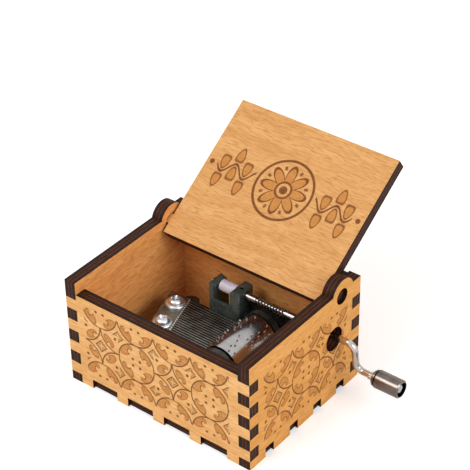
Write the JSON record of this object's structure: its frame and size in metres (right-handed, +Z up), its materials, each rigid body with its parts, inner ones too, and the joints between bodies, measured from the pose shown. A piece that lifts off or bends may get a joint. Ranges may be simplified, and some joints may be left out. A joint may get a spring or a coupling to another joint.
{
  "type": "music box",
  "caption": "Finger-jointed plywood box with a lid leaning open and a side crank that turns a pinned drum against a steel comb.",
  "frame": {"origin": "middle of the case's footprint, on the surface that the case stands on", "axes": "+X along the case's front face towards the crank, +Y from the front face to the back, +Z up"},
  "size_m": [0.0865, 0.0779, 0.0592],
  "materials": {
    "plywood": "satin laser cut birch plywood with dark edges",
    "dark_casting": "glossy dark coated zinc casting",
    "comb_steel": "dark hardened steel",
    "drum_steel": "bright turned steel",
    "black_plastic": "moulded, matt",
    "white_nylon": "moulded, slightly translucent",
    "bright_steel": "ground",
    "plated_screws": "bright zinc plated",
    "nickel": "polished nickel plated"
  },
  "bodies": {
    "case": {"bottom_panel": "plywood", "front_wall": "plywood", "back_wall": "plywood", "left_wall": "plywood", "right_wall": "plywood", "movement_frame": "dark_casting", "front_bearing": "dark_casting", "bearing_screws": "plated_screws", "comb": "comb_steel", "comb_screws": "plated_screws", "crank_bracket": "dark_casting", "bracket_screw": "plated_screws", "mounting_screws": "plated_screws"},
    "lid": {"lid": "plywood"},
    "drum_assembly": {"drum": "drum_steel", "front_cap": "black_plastic", "rear_cap": "black_plastic", "arbor": "bright_steel", "worm_wheel": "black_plastic"},
    "crank": {"crank_shaft": "bright_steel", "shaft_sleeve": "white_nylon", "crank_handle": "nickel", "knob_retainer": "bright_steel"},
    "knob": {"knob": "nickel"}
  },
  "joints": [
    {"name": "lid_hinge", "type": "hinge", "parent": "case", "child": "lid", "pos_m": [0, 0.0166, 0.0339], "axis": [1, 0, 0], "range_deg": [0, 145.7]},
    {"name": "crank_spin", "type": "hinge", "parent": "case", "child": "crank", "pos_m": [0.0245, 0.0142, 0.02105], "axis": [1, 0, 0], "continuous": true},
    {"name": "drum_spin", "type": "hinge", "parent": "case", "child": "drum_assembly", "pos_m": [0.00982, 0, 0.01535], "axis": [0, 1, 0], "continuous": true},
    {"name": "knob_spin", "type": "hinge", "parent": "crank", "child": "knob", "pos_m": [0.0495, 0.01548, 0.01194], "axis": [1, 0, 0], "continuous": true}
  ],
  "couplings": [
    {"joint": "drum_spin", "follows": "crank_spin", "ratio": -0.035714}
  ]
}
